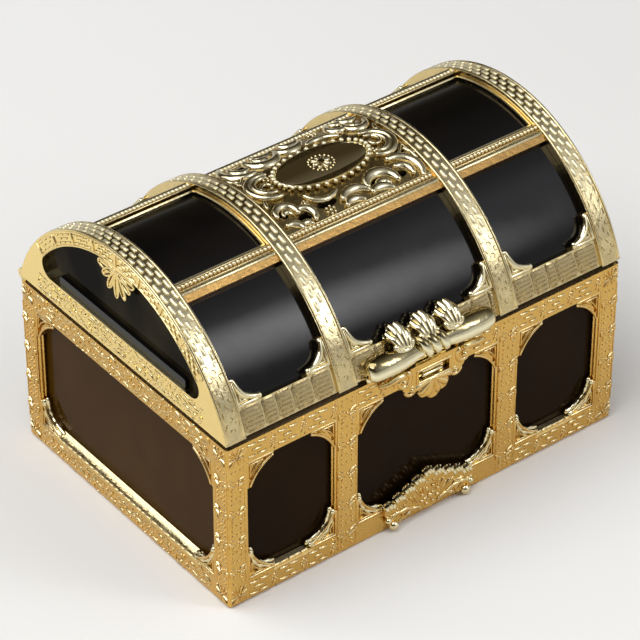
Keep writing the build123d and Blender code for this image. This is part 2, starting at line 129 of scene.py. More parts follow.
def on_right(u, v, h):
    return (HALF_LENGTH + h, u, v)


def on_section(u, v, h):
    """Section of the chest: along its length, across it, and up."""
    return (u, v, h)


def on_arch(u, v, h):
    turn = v / LID_RADIUS
    return (u, (LID_RADIUS + h) * sin(turn), LID_AXIS + (LID_RADIUS + h) * cos(turn))


def on_ring(side):
    """On the lid's end ring: along is the arc at the ring's middle, up is outwards from the axis."""
    middle = LID_RADIUS - RING / 2

    def place(u, v, h):
        turn = u / middle
        out = middle + v
        return (side * (HALF_LENGTH + h), side * out * sin(turn), LID_AXIS + out * cos(turn))

    return place


def on_tangent(u, v, h):
    """On the flat plane that touches the lid's foot rail where the grip's shells stand."""
    turn = radians(-SHELL_ANGLE)
    out = LID_RADIUS - RAIL_SINK + h
    return (u, out * sin(turn) + v * cos(turn), LID_AXIS + out * cos(turn) - v * sin(turn))


ENDS = {-1: on_left, 1: on_right}


def polar(u, v, reach, turn):
    """The point at a distance from u, v, in a direction in radians."""
    return (u + reach * cos(turn), v + reach * sin(turn))


def turned(u, v, x, y, turn):
    """The point x, y from u, v, turned about u, v by an angle in radians."""
    return (u + x * cos(turn) - y * sin(turn), v + x * sin(turn) + y * cos(turn))


def shares(steps):
    """Even shares from 0 to 1."""
    return [i / steps for i in range(steps + 1)]


def oval(u, v, reach_u, reach_v, h, sides):
    """Ring of points round u, v at one height."""
    turns = [2 * pi * i / sides for i in range(sides)]
    return [(u + reach_u * cos(turn), v + reach_v * sin(turn), h) for turn in turns]


def added(name, data):
    """A new object in the scene."""
    thing = bpy.data.objects.new(name, data)
    bpy.context.scene.collection.objects.link(thing)
    return thing


def aimed(name, data, place, direction):
    """A new light or camera that looks in a direction."""
    thing = added(name, data)
    thing.location = place
    thing.rotation_euler = direction.to_track_quat("-Z", "Y").to_euler()
    return thing


def for_each(radii, path):
    """A radius for each point of a path, where one may be given for all."""
    return list(radii) if hasattr(radii, "__len__") else [radii] * len(path)


class Relief:
    """Closed raised shapes, laid out flat in millimetres and placed on the chest at the end."""

    def __init__(self):
        self.points = []
        self.faces = []

    def skin(self, rings):
        """Rings of points joined into one closed shape."""
        start = len(self.points)
        count = len(rings[0])
        for ring in rings:
            self.points += ring
        for level in range(len(rings) - 1):
            low = start + level * count
            for i in range(count):
                j = (i + 1) % count
                self.faces.append((low + i, low + j, low + count + j, low + count + i))
        last = start + (len(rings) - 1) * count
        self.faces.append(tuple(start + i for i in reversed(range(count))))
        self.faces.append(tuple(last + i for i in range(count)))

    def bar(self, u, v, length, width, height, angle=0.0, base=0.0, soft=0.16):
        """Low bar with chamfered edges."""
        chamfer = min(length, width) * soft
        rings = []
        for level, inset in ((-SUNK, 0), (height * 0.45, 0), (height, chamfer)):
            a = length / 2 - inset
            b = width / 2 - inset
            cut = chamfer - inset * 0.6
            half = [(a - cut, -b), (a, -b + cut), (a, b - cut), (a - cut, b)]
            outline = half + [(-x, -y) for x, y in half]
            rings.append([(*turned(u, v, x, y, radians(angle)), base + level) for x, y in outline])
        self.skin(rings)

    def prism(self, profile, start, end):
        """Long strip from start to end along u, with its section given as (v, h) points."""
        self.skin([[(u, v, h) for v, h in profile] for u in (start, end)])

    def dome(self, u, v, radius, low, top, angle_low, sides, levels):
        """Round cap between two heights."""
        foot = sin(radians(angle_low))
        rings = []
        for level in range(levels + 1):
            lift = radians(angle_low + (82 - angle_low) * level / levels)
            share = (sin(lift) - foot) / (1 - foot)
            reach = radius * cos(lift)
            rings.append(oval(u, v, reach, reach, low + (top - low) * share, sides))
        self.skin(rings)

    def bead(self, u, v, radius, base=0.0, sides=8, levels=3):
        """Round bead, half sunk in the surface."""
        self.dome(u, v, radius, base - radius * 0.42, base + radius, -25.0, sides, levels)

    def ball(self, u, v, h, radius):
        """Whole ball, standing clear of the surface."""
        self.dome(u, v, radius, h - radius, h + radius, -84.0, 12, 8)

    def tube(self, path, radii, sides=8, round_ends=True):
        """Round roll along a path of (u, v, h) points."""
        radii = for_each(radii, path)
        points = [Vector(p) for p in path]
        if round_ends:
            start_step = (points[0] - points[1]).normalized()
            end_step = (points[-1] - points[-2]).normalized()
            starts = [points[0] + start_step * radii[0] * out for out in (0.9, 0.5)]
            ends = [points[-1] + end_step * radii[-1] * out for out in (0.5, 0.9)]
            points = starts + points + ends
            radii = [radii[0] * 0.4, radii[0] * 0.85, *radii, radii[-1] * 0.85, radii[-1] * 0.4]
        rings = []
        for i, point in enumerate(points):
            ahead = points[min(i + 1, len(points) - 1)]
            behind = points[max(i - 1, 0)]
            run = (ahead - behind).normalized()
            side = Vector((0, 0, 1)).cross(run)
            if side.length < 0.05:
                side = Vector((1, 0, 0))
            side.normalize()
            lift = run.cross(side).normalized()
            turns = [2 * pi * k / sides for k in range(sides)]
            rings.append([
                tuple(point + side * radii[i] * cos(turn) + lift * radii[i] * sin(turn)) for turn in turns
            ])
        self.skin(rings)

    def ridge(self, path, radii, top, sides=8):
        """Roll whose back lies level at a height, however thick it is."""
        radii = for_each(radii, path)
        self.tube([(p[0], p[1], top - radius) for p, radius in zip(path, radii)], radii, sides)

    def level_roll(self, left, right, v, h, radius, sides=8):
        """Straight roll along u."""
        self.tube([(left, v, h), ((left + right) / 2, v, h), (right, v, h)], radius, sides)

    def lobe(self, u, v, length, width, top, angle=0.0, steps=6, sides=8, taper=0.35):
        """Fat leaf or gadroon that swells from a narrow root towards a round tip."""
        path, radii = [], []
        for share in shares(steps):
            path.append(polar(u, v, (share - 0.5) * (length - width * 0.8), radians(angle)))
            radii.append(width / 2 * (taper + (1 - taper) * sin(pi * (0.12 + 0.62 * share))))
        self.ridge(path, radii, top, sides)

    def place(self, name, place, material, body, slot, smooth_angle=50.0):
        """Makes the shapes into one object on the chest."""
        mesh = bpy.data.meshes.new(name)
        mesh.from_pydata([tuple(c * MM for c in place(*p)) for p in self.points], [], self.faces)
        work = bmesh.new()
        work.from_mesh(mesh)
        bmesh.ops.recalc_face_normals(work, faces=work.faces)
        work.to_mesh(mesh)
        work.free()
        piece = added(name, mesh)
        mesh.polygons.foreach_set("use_smooth", [True] * len(mesh.polygons))
        mesh.set_sharp_from_angle(angle=radians(smooth_angle))
        mesh.materials.append(material)
        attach(piece, body)
        return piece


def arc_path(u, v, radius, start, end, h=0.0, steps=10, stretch=1.0):
    """Points along an arc, from start to end in degrees."""
    turns = [radians(start + (end - start) * share) for share in shares(steps)]
    return [(u + radius * cos(turn), v + radius * stretch * sin(turn), h) for turn in turns]


def spiral_path(u, v, start_radius, end_radius, start, sweep, h=0.0, steps=28, rise=0.0):
    """Points along a scroll that winds inwards."""
    path = []
    for share in shares(steps):
        radius = start_radius + (end_radius - start_radius) * share**0.8
        path.append((*polar(u, v, radius, radians(start + sweep * share)), h + rise * share))
    return path


def taper_radii(count, start, end, bulge=0.0):
    return [start + (end - start) * share + bulge * sin(pi * share) for share in shares(count - 1)]


# Materials

def shader(name):
    """A new node material, with its node tree and its principled shader."""
    material = bpy.data.materials.new(name)
    material.use_nodes = True
    tree = material.node_tree
    return material, tree, tree.nodes["Principled BSDF"]


def feed(tree, socket, value):
    """Links another node's socket to this one, or sets it to a plain value."""
    if isinstance(value, bpy.types.NodeSocket):
        tree.links.new(value, socket)
    else:
        socket.default_value = value


def fill(tree, node, values):
    for name, value in values.items():
        feed(tree, node.inputs[name], value)
    return node


def new_node(tree, kind, values):
    return fill(tree, tree.nodes.new("ShaderNode" + kind), values)


def calculated(tree, operation, *values, kind="Math", result="Value"):
    """The result of a math node on sockets and numbers."""
    node = tree.nodes.new("ShaderNode" + kind)
    node.operation = operation
    for socket, value in zip(node.inputs, values):
        feed(tree, socket, value)
    return node.outputs[result]


def coordinate(tree, kind):
    return tree.nodes.new("ShaderNodeTexCoord").outputs[kind]


def part_of(tree, vector, axis):
    return new_node(tree, "SeparateXYZ", {"Vector": vector}).outputs[axis]


def noise(tree, scale, detail, distortion=0.0):
    """Noise in the object's own coordinates."""
    values = {"Scale": scale, "Detail": detail, "Roughness": 0.55, "Distortion": distortion}
    return new_node(tree, "TexNoise", {"Vector": coordinate(tree, "Object"), **values}).outputs["Fac"]


def ramp(tree, source, stops):
    """Colour ramp from a list of (place, colour)."""
    node = new_node(tree, "ValToRGB", {"Fac": source})
    while len(node.color_ramp.elements) < len(stops):
        node.color_ramp.elements.new(0.5)
    for element, (where, colour) in zip(node.color_ramp.elements, stops):
        element.position = where
        element.color = (*colour, 1.0)
    return node.outputs["Color"]


def facing_up(tree, drift):
    """How far a face of the piece looks up, from 0 to 1, with a little noise added."""
    up = part_of(tree, coordinate(tree, "Normal"), "Z")
    level = calculated(tree, "MULTIPLY_ADD", up, 0.5, 0.5 - drift / 2)
    return calculated(tree, "MULTIPLY_ADD", noise(tree, 260, 4), drift, level)


def spread(tree, source, low, high, start=0.3, end=0.7):
    """Maps a value from the range start to end onto the range low to high."""
    values = {"Value": source, "From Min": start, "From Max": end, "To Min": low, "To Max": high}
    return new_node(tree, "MapRange", values).outputs["Result"]


def bump(tree, height, strength, distance):
    values = {"Strength": strength, "Distance": distance, "Height": height}
    return new_node(tree, "Bump", values).outputs["Normal"]


def endwise(tree, kind):
    """How far a face looks along the chest, from 0 to 1, or how far out it lies, in metres."""
    return calculated(tree, "ABSOLUTE", part_of(tree, coordinate(tree, kind), "X"))


def blended(tree, share, low_colour, high_colour):
    """Mixes a colour socket with a plain colour, by a share from 0 to 1."""
    mix = tree.nodes.new("ShaderNodeMix")
    mix.data_type = "RGBA"
    first, second = [socket for socket in mix.inputs if socket.type == "RGBA"]
    feed(tree, mix.inputs["Factor"], share)
    feed(tree, first, low_colour)
    feed(tree, second, (*high_colour, 1.0))
    return [socket for socket in mix.outputs if socket.type == "RGBA"][0]


def plated(name, side_painted_tone, top_painted_tone, roughness, ripple, ripple_scale=650, end_painted_reflection=None):
    """Bright plating with painted light: painted shade deepens faces that look down and sideways, faces that
    look up take a top tone that is a painted highlight or a painted reflection, with a worn gloss and a fine
    ripple.
    """
    material, tree, principled = shader(name)
    # Painted shade: faces that look down take a darker, deeper copy of the side tone.
    painted_shade_tone = tuple(c * share for c, share in zip(side_painted_tone, (0.92, 0.86, 0.72)))
    middle = tuple((a + b) / 2 for a, b in zip(side_painted_tone, top_painted_tone))
    stops = [(0.40, painted_shade_tone), (0.54, side_painted_tone), (0.72, middle), (0.90, top_painted_tone)]
    tint = ramp(tree, facing_up(tree, 0.2), stops)
    # Painted reflection: faces at the chest's outer ends that look outwards take the brighter end tone.
    if end_painted_reflection:
        outer = (HALF_LENGTH - 1.5) * MM
        looking_out = spread(tree, endwise(tree, "Normal"), 0.0, 1.0, 0.7, 0.95)
        lying_out = spread(tree, endwise(tree, "Object"), 0.0, 1.0, outer, outer + 0.8 * MM)
        tint = blended(tree, calculated(tree, "MULTIPLY", looking_out, lying_out), tint, end_painted_reflection)
    fill(tree, principled, {
        "Base Color": tint,
        "Roughness": spread(tree, noise(tree, 900, 3), *roughness),
        "Normal": bump(tree, noise(tree, ripple_scale, 4, 0.4), ripple, 0.0002),
        "Metallic": 1.0,
    })
    return material


def smoked(name, tones, roughness, gloss, tint):
    """Smoked plastic: nearly opaque, glossy, with flow marks, and a painted glow that makes faces looking
    along the chest paler, standing for light let through the ends.
    """
    material, tree, principled = shader(name)
    flow = spread(tree, noise(tree, 45, 2), 0.0, 0.3)
    # Painted glow: faces that look along the chest move up the ramp to the paler tones.
    drift = calculated(tree, "MULTIPLY_ADD", endwise(tree, "Normal"), 0.5, flow)
    fill(tree, principled, {
        "Base Color": ramp(tree, drift, list(zip((0.0, 0.3, 0.5, 0.78), tones))),
        "Roughness": spread(tree, noise(tree, 160, 4), roughness * 0.7, roughness * 1.3),
        "Normal": bump(tree, noise(tree, 30, 1), 0.12, 0.0004),
        "IOR": 1.5,
        "Specular IOR Level": gloss,
        "Specular Tint": (*tint, 1.0),
    })
    return material


def drawn_steel(name):
    material, tree, principled = shader(name)
    tones = [(0.3, (0.42, 0.41, 0.39)), (0.7, (0.62, 0.61, 0.58))]
    fill(tree, principled, {
        "Base Color": ramp(tree, noise(tree, 1500, 2), tones),
        "Roughness": spread(tree, noise(tree, 700, 2), 0.22, 0.38),
        "Metallic": 1.0,
    })
    return material


WHITE = (1.0, 1.0, 1.0)
# The golds are one plating in lit and shaded copies: their tones are painted light, paler or darker by part
# and by which way a face looks; their roughness and ripple are the finish.
BODY_GOLD = plated("body_gold", (0.69, 0.43, 0.115), (0.90, 0.78, 0.46), (0.17, 0.32), 0.5)
# Lid plating, with a painted reflection that brightens its outward end faces.
LID_GOLD = plated(
    "lid_gold", (0.76, 0.60, 0.29), (0.62, 0.54, 0.33), (0.13, 0.26), 0.4, end_painted_reflection=(0.96, 0.73, 0.28)
)
SCROLL_GOLD = plated("scroll_gold", (0.74, 0.62, 0.38), (0.70, 0.63, 0.42), (0.13, 0.26), 0.4)
# Paler plating on the dashes and beads: a painted highlight, with a rougher satin gloss.
SATIN_HIGHLIGHT_GOLD = plated("satin_highlight_gold", (0.86, 0.76, 0.48), (0.94, 0.88, 0.64), (0.34, 0.48), 0.4)
# Darker plating on the lid's foot plates: painted shade.
FOOT_GOLD = plated("foot_gold", (0.44, 0.33, 0.15), (0.52, 0.43, 0.25), (0.2, 0.34), 0.6)
# Darker plating for the cartouche's ground and the engraved band marks: painted shade.
PAINTED_SHADE_GOLD = plated("painted_shade_gold", (0.40, 0.30, 0.13), (0.30, 0.23, 0.10), (0.2, 0.32), 0.5)
# Dark orange plating on the slopes of the lid's rails: painted shade.
AMBER_GOLD = plated("amber_gold", (0.36, 0.19, 0.05), (0.40, 0.24, 0.08), (0.22, 0.36), 0.5)
POLISHED_GOLD = plated("polished_gold", (0.80, 0.69, 0.40), (0.90, 0.83, 0.58), (0.07, 0.13), 0.1)
# Grip roll: pale front, with a painted dark reflection of the dim room on its top.
ROLL_GOLD = plated("roll_gold", (0.90, 0.83, 0.57), (0.26, 0.21, 0.10), (0.06, 0.12), 0.9, 230)
# Smoked tones run from faces looking across the chest to faces looking along it; the paler tones for faces
# along it are a painted glow of light let through the ends.
NEARLY_BLACK = ((0.002, 0.002, 0.002), (0.005, 0.004, 0.004), (0.003, 0.004, 0.003), (0.006, 0.008, 0.006))
WARM_BLACK = ((0.007, 0.0035, 0.001), (0.014, 0.007, 0.002), (0.040, 0.017, 0.0005), (0.058, 0.025, 0.002))
WINDOW_BLACK = ((0.002, 0.002, 0.002), (0.005, 0.004, 0.004), (0.001, 0.0005, 0.0), (0.040, 0.032, 0.016))
LID_SMOKE = smoked("lid_smoke", NEARLY_BLACK, 0.12, 0.28, WHITE)
LEDGE_SMOKE = smoked("ledge_smoke", NEARLY_BLACK, 0.09, 1.0, WHITE)
END_SMOKE = smoked("end_smoke", WINDOW_BLACK, 0.1, 0.02, (1.0, 0.7, 0.4))
BODY_SMOKE = smoked("body_smoke", WARM_BLACK, 0.13, 0.05, (1.0, 0.36, 0.08))
PIN_STEEL = drawn_steel("pin_steel")

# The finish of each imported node
for finish, *nodes in (
    (BODY_GOLD, "body_frame", "latch_escutcheon", "front_crest"),
    (LID_GOLD, "lid_frame", "left_end_shell", "right_end_shell", "latch_tongue"),
    # The cartouche plate takes the painted shade gold.
    (PAINTED_SHADE_GOLD, "lid_cartouche"),
    (POLISHED_GOLD, "left_grip_shell", "middle_grip_shell", "right_grip_shell", "thumb_grip"),
    (BODY_SMOKE, "body_liner"),
    (LID_SMOKE, "lid_liner"),
    (PIN_STEEL, "left_hinge_pin", "right_hinge_pin"),
):
    for node in nodes:
        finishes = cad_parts[node].data.materials
        finishes.clear()
        finishes.append(finish)


# Motifs that repeat

def flower(relief, u, v, size=1.0, base=0.0):
    """Small rosette: a bead in a ring of beads."""
    relief.bead(u, v, 0.34 * size, base)
    for petal in range(6):
        relief.bead(*polar(u, v, 0.72 * size, radians(60 * petal + 15)), 0.27 * size, base, 6, 2)


def curl(relief, u, v, size, angle, radius, base=0.0, sweep=230):
    """Open C curl."""
    relief.tube(arc_path(u, v, size, angle, angle + sweep, base + 0.03, steps=6), radius, sides=5)


def scroll(relief, u, v, radii, start, sweep, h, thickness, sides, rise=0.0):
    """Round roll wound into a scroll."""
    path = spiral_path(u, v, *radii, start, sweep, h, rise=rise)
    relief.tube(path, taper_radii(len(path), *thickness), sides)


def dash_field(relief, start, end, rows, length, gap, width, height, upright=False, soft=0.16):
    """Staggered rows of dashes between start and end."""
    pitch = length + gap
    for index, row in enumerate(rows):
        at = start + length / 2 + (pitch / 2 if index % 2 else 0)
        while at + length / 2 <= end:
            size = length * random.uniform(0.86, 1.08)
            u, v, angle = (row, at, 90) if upright else (at, row, 0)
            relief.bar(u, v, size, width, height, angle, soft=soft)
            at += pitch


def rail_pattern(relief, start, end, low, high):
    """Groups of dashes parted by leaf clusters, along a level rail."""
    rows = [low + (high - low) * share for share in (0.2, 0.5, 0.8)]
    count = max(1, round((end - start) / 8.4))
    step = (end - start) / count
    middle = (low + high) / 2
    for index in range(count):
        left = start + index * step
        dash_field(relief, left + 0.2, left + step - 2.4, rows, 2.4, 0.5, 0.7, 0.36, soft=0.27)
        at = left + step - 1.2
        flower(relief, at, middle)
        for hand in (-1, 1):
            curl(relief, at, middle + hand * 1.75, 0.62, 90 - hand * 205, 0.16)
            relief.bead(at + 0.95, middle + hand * 0.95, 0.2, sides=6, levels=2)


def pillar_pattern(relief, centre, low, high, width):
    """Columns of beads between edge lines, crossed by pairs of leaves with a pad at each edge."""
    column = width * 0.25
    for line in (-width * 0.45, width * 0.45):
        relief.tube([(centre + line, low, 0.0), (centre + line, high, 0.0)], 0.14, sides=6)
    count = max(2, round((high - low) / 9.5))
    clusters = [low + (high - low) * (index + 0.5) / count for index in range(count)]
    for cluster in clusters:
        relief.bead(centre, cluster, 0.37)
        for hand in (-1, 1):
            for lift, tilt, reach in ((0.8, 30, 0.40), (-0.6, 20, 0.34)):
                length = width * reach
                angle = tilt if hand > 0 else 180 - tilt
                along = hand * (0.3 + length / 2)
                relief.lobe(centre + along, cluster + lift, length, 0.66, 0.33, angle, steps=4, sides=6)
            relief.bar(centre + hand * width * 0.42, cluster - 0.2, 0.7, 1.5, 0.34)
            curl(relief, centre + hand * width * 0.2, cluster - 1.7, 0.5, 90 + hand * 60, 0.14)
    row = 0
    at = low + 0.8
    while at < high - 0.4:
        for offset in (-column, 0, column) if row % 2 else (-column * 1.05, column * 0.95):
            if all(abs(at - cluster) > 2.2 for cluster in clusters):
                relief.bead(centre + offset, at, 0.34, levels=2)
        at += 1.3
        row += 1


def corner_block(relief, u, v, size):
    """Crossed fans of leaves round a bead."""
    relief.bead(u, v, 0.38)
    for fan in range(4):
        for turn, reach, width in ((0, 1.18, 0.7), (-26, 0.98, 0.55), (26, 0.98, 0.55)):
            angle = 45 + 90 * fan + turn
            length = size * reach - 0.5
            leaf = polar(u, v, 0.5 + length / 2, radians(angle))
            relief.lobe(*leaf, length, width, 0.31, angle, steps=4, sides=6)


def encrust(relief, left, right, low, high):
    """Rough rocaille: low leaves, curls and beads laid close together along a rail."""
    columns = max(1, round((right - left) / 1.9))
    rows = max(1, round((high - low) / 1.3))
    for column in range(columns):
        for row in range(rows):
            u = left + (column + 0.5 * (row % 2) + random.uniform(0.1, 0.5)) * (right - left) / columns
            v = low + (row + 0.5 + random.uniform(-0.15, 0.15)) * (high - low) / rows
            kind = random.random()
            if kind < 0.3:
                curl(relief, u, v, random.uniform(0.45, 0.7), random.uniform(0, 360), 0.18, sweep=200)
            elif kind < 0.85:
                tilt = random.uniform(-50, 50)
                top = random.uniform(0.16, 0.36)
                relief.lobe(u, v, random.uniform(1.8, 2.8), 1.15, top, tilt, steps=4)
            else:
                relief.bead(u, v, random.uniform(0.3, 0.38))


def bracket_rim(relief, corner, turn, shape, radius, top):
    """Rolled rims of one corner bracket, doubled: two straight legs and the hollow arc."""
    reach, tip, bow = shape

    def legs_and_arc(edge, size, near, leg_shares):
        """Paths from the corner, the arc bowed towards it from one leg's end to the other's."""
        leg = [size * share for share in leg_shares]
        bend = (size + near) / 2 - bow * size / reach / sqrt(2) * 2
        arc = []
        for share in shares(10):
            x = near * (1 - share) ** 2 + 2 * bend * share * (1 - share) + size * share**2
            y = size * (1 - share) ** 2 + 2 * bend * share * (1 - share) + near * share**2
            arc.append((max(x, edge), max(y, edge)))
        return [(edge, edge)] + [(x, edge) for x in leg], [(edge, edge)] + [(edge, y) for y in leg], arc

    edge = radius * 0.8
    inner = edge + radius * 2.2
    outer_rims = legs_and_arc(edge, reach, tip, (0.5, 1))
    inner_rims = legs_and_arc(inner, reach * 0.62, inner, (1,))
    for rims, thick, back in ((outer_rims, radius, top), (inner_rims, radius * 0.55, top - radius * 0.3)):
        for rim in rims:
            relief.ridge([turned(*corner, x, y, radians(turn)) for x, y in rim], thick, back)


def hollow_path(corner, way, up, near, reach, bow, steps, shift=0.0):
    """Points from one leg of a bracket to the other, bowed towards its corner."""
    path = []
    for share in shares(steps):
        inwards = shift - bow * sin(pi * share)
        along = near + reach * share + inwards
        rise = near + reach * (1 - share) + inwards
        path.append((corner[0] + way * along, corner[1] + up * rise))
    return path


def window_corners(centre, middle, width, height):
    """The corners of a window, each with its bracket's turn."""
    return [
        ((centre + a * width / 2, middle + b * height / 2), 90 * index)
        for index, (a, b) in enumerate(((-1, -1), (1, -1), (1, 1), (-1, 1)))
    ]


def sill(relief, centre, width):
    """Narrow sill along the foot of a window, between its two brackets, with worn rolls on it."""
    half = width / 2 - BODY_BRACKET[0]
    profile = [(RAIL - 0.6, 0.16), (RAIL + 0.1, -0.1), (RAIL + 0.3, -1.9), (RAIL - 0.6, -1.9)]
    relief.prism(profile, centre - half, centre + half)
    at = centre - half
    while at < centre + half - 1.0:
        size = random.uniform(1.0, 2.4)
        path = [(at, RAIL + 0.1, -0.35), (at + size, RAIL + 0.15, -0.4)]
        relief.tube(path, random.uniform(0.2, 0.34), sides=6)
        at += size + random.uniform(0.2, 0.8)


def rim_window(relief, centre, width):
    """Rims of a window's four brackets, and stepped rolls down its sides between them."""
    for corner, turn in window_corners(centre, WINDOW_MIDDLE, width, WINDOW_HEIGHT):
        bracket_rim(relief, corner, turn, BODY_BRACKET, 0.34, 0.1)
    low = RAIL + BODY_BRACKET[0] - 0.6
    high = BODY_TOP - RAIL - BODY_BRACKET[0] + 0.6
    for side in (-1, 1):
        edge = centre + side * width / 2
        for inset, depth, radius in ((0.05, -0.75, 0.45), (0.35, -1.5, 0.4)):
            u = edge - side * inset
            relief.tube([(u, low, depth), (u, high, depth)], radius, sides=10)


def wall_windows(name, place, windows):
    """Bright rolled walls behind the two lower brackets of each window."""
    walls = Relief()
    for centre, width in windows:
        for corner, turn in window_corners(centre, WINDOW_MIDDLE, width, WINDOW_HEIGHT)[:2]:
            way = 1 if turn == 0 else -1
            for depth, shift, radius in ((-0.55, 0.35, 0.72), (-1.3, 0.7, 0.8)):
                path = hollow_path(corner, way, 1, 0.6, BODY_BRACKET[0] - 0.7, 1.35, 12, shift)
                radii = [radius * (0.75 + 0.25 * sin(2.0 * i + turn)) for i in range(13)]
                walls.tube([(*point, depth) for point in path], radii, sides=10)
    walls.place(name + "_window_walls", place, POLISHED_GOLD, *ON_BODY)


# Body

def dress_long_side(name, place, front):
    """Relief on the front or the back of the body."""
    relief = Relief()
    edge = HALF_LENGTH - CORNER_PILLAR
    half = MIDDLE_PILLAR_AT - MIDDLE_PILLAR / 2
    top = BODY_TOP - RAIL
    foot_rail = (0.3, RAIL - 0.3)
    top_rail = (top + 0.3, BODY_TOP - 0.3)
    spans = (
        (SIDE_WINDOW_INNER, edge, (foot_rail, top_rail)),
        (half, 12.6, (top_rail,)) if front else (half, 0, (top_rail, foot_rail)),
    )
    for side in (-1, 1):
        corner = side * (HALF_LENGTH - CORNER_PILLAR / 2)
        pillar_pattern(relief, corner + side * 0.15, RAIL, top, 4.7)
        pillar_pattern(relief, side * MIDDLE_PILLAR_AT, RAIL - 5, top + 5, MIDDLE_PILLAR)
        for v in (RAIL / 2, BODY_TOP - RAIL / 2):
            corner_block(relief, corner + side * 0.1, v, 2.45)
        for start, end, rails in spans:
            left, right = sorted((side * start, side * end))
            for rail in rails:
                rail_pattern(relief, left, right, *rail)
    relief.place(name + "_relief", place, BODY_GOLD, *ON_BODY)
    rims = Relief()
    for centre, width in BODY_WINDOWS:
        rim_window(rims, centre, width)
        if centre or not front:
            sill(rims, centre, width)
    rims.place(name + "_bracket_rims", place, BODY_GOLD, *ON_BODY)
    wall_windows(name, place, BODY_WINDOWS)


def dress_end(name, place):
    """Relief on one end of the body, with a rolled lip along the foot of its window."""
    relief = Relief()
    edge = HALF_DEPTH - CORNER_PILLAR
    for side in (-1, 1):
        corner = side * (HALF_DEPTH - CORNER_PILLAR / 2)
        pillar_pattern(relief, corner + side * 0.15, RAIL, BODY_TOP - RAIL, 4.7)
        for v in (RAIL / 2, BODY_TOP - RAIL / 2):
            corner_block(relief, corner, v, 2.35)
    encrust(relief, -edge, edge - 1.2, 0.8, RAIL - 0.4)
    encrust(relief, -edge, edge - 1.2, BODY_TOP - RAIL + 0.2, BODY_TOP - 0.4)
    relief.place(name + "_relief", place, BODY_GOLD, *ON_BODY)
    rims = Relief()
    rim_window(rims, 0, 2 * edge)
    lip = [(-0.9, -1.9), (-0.9, 0.16), (-0.1, 0.12), (0.5, -0.25), (1.2, -1.1), (1.6, -1.9)]
    half = edge - BODY_BRACKET[0]
    rims.prism([(RAIL + lift, h) for lift, h in lip], -half - 2.0, half + 2.0)
    at = -half - 1.0
    while at < half + 1.0:
        size = random.uniform(0.9, 2.2)
        rims.tube([(at, RAIL + 0.1, 0.0), (at + size, RAIL + 0.2, -0.08)], random.uniform(0.12, 0.2), sides=6)
        if random.random() < 0.6:
            rims.tube([(at, RAIL + 0.8, -0.6), (at + size, RAIL + 0.9, -0.75)], 0.14, sides=6)
        at += size + random.uniform(0.5, 1.1)
    rims.place(name + "_bracket_rims", place, BODY_GOLD, *ON_BODY)
    wall_windows(name, place, ((0, 2 * edge),))


# Lid bands, rails and plates

def arc_line(u, start, end, h, steps=40):
    return [(u, start + (end - start) * share, h) for share in shares(steps)]


def mark_band_side(marks, centre, side, start, end):
    """Fine engraved curls and strokes down one side of a band."""
    at = start
    while at < end - 1.0:
        for index, row in enumerate((centre - 1.5, centre, centre + 1.5)):
            v = side * (at + (1.4 if index % 2 else 0.0))
            if abs(v) > end - 0.8:
                continue
            if random.random() < 0.6:
                curl(marks, row, v, 0.55, random.uniform(0, 360), 0.13, -0.06, 190)
            else:
                marks.bar(row, v, 1.5, 0.28, 0.06, random.choice((90, 90, 60, 120)))
        at += 2.8


def dress_bands():
    """Brick rows of dashes on top, engraved curls down the sides, and rolled edges on the bands."""
    dashes = Relief()
    marks = Relief()
    edges = Relief()
    reach = ARCH_END - 0.8
    turn = radians(46) * LID_RADIUS
    end_band = HALF_LENGTH - END_BAND / 2
    for centre, width, columns in (
        (-end_band, END_BAND, (-1.45, 0.0, 1.45)),
        (-MIDDLE_BAND_AT, MIDDLE_BAND, (-0.78, 0.78)),
        (MIDDLE_BAND_AT, MIDDLE_BAND, (-0.78, 0.78)),
        (end_band, END_BAND, (-1.45, 0.0, 1.45)),
    ):
        rows = [centre + column for column in columns]
        dash_field(dashes, -turn, turn, rows, 2.35, 0.85, 0.88, 0.3, upright=True, soft=0.22)
        for side in (-1, 1):
            mark_band_side(marks, centre, side, turn + 1.0, reach)
            for inset, h, radius, sides in ((0.42, -0.12, 0.4, 8), (1.0, -0.06, 0.14, 6)):
                edges.tube(arc_line(centre + side * (width / 2 - inset), -reach, reach, h), radius, sides)
    dashes.place("lid_band_dashes", on_arch, SATIN_HIGHLIGHT_GOLD, *ON_LID, 80)
    # The engraved marks take the darker gold: painted shade in the engraving.
    marks.place("lid_band_marks", on_arch, PAINTED_SHADE_GOLD, *ON_LID)
    edges.place("lid_band_edges", on_arch, LID_GOLD, *ON_LID)


def lay_plates(plates, left, right, middle, side, base):
    """Plates of uneven length with grain, along one foot rail of the lid."""
    at = left + 0.2
    while at < right - 1.5:
        size = min(random.uniform(2.8, 6.4), right - 0.2 - at)
        u = at + size / 2
        plates.bar(u, side * middle, size - 0.3, 6.3, 0.34, 0, base)
        for line in range(6):
            v = side * (middle - 2.5 + 1.02 * line)
            length = max(1.0, size - 0.7) * random.uniform(0.7, 1.0)
            plates.bar(u, v, length, 0.5, 0.5, random.uniform(-3, 3), base)
        at += size


